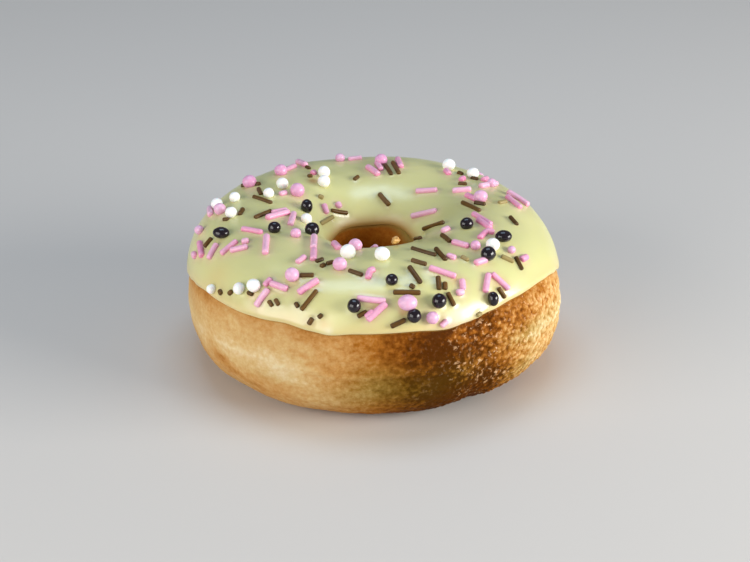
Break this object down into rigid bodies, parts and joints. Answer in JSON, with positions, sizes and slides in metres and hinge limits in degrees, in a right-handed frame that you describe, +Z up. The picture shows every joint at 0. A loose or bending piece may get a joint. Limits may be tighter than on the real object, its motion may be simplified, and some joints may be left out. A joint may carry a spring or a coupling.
{
  "type": "sprinkle frosted doughnut",
  "caption": "Ring doughnut with smooth pale icing that wraps its shoulder and dips into its hole, dotted with sugar pearls and sugar rods.",
  "frame": {"origin": "on the table, under the middle of the ring's box", "axes": "+Z up through the hole, -Y towards the picture's viewer"},
  "size_m": [0.0874, 0.0875, 0.0381],
  "materials": {
    "dough": "golden brown fried crust, dull with a faint sheen",
    "icing": "set sugar icing, pale yellow satin",
    "pearl_white": "sugar pearl, white satin",
    "pearl_pink": "sugar pearl, pale pink satin",
    "pearl_black": "sugar pearl, glossy black",
    "rod_pink": "sugar rod, pink satin",
    "rod_brown": "chocolate rod, dark brown satin"
  },
  "bodies": {
    "root": {"dough": "dough", "icing": "icing"}
  },
  "joints": []
}
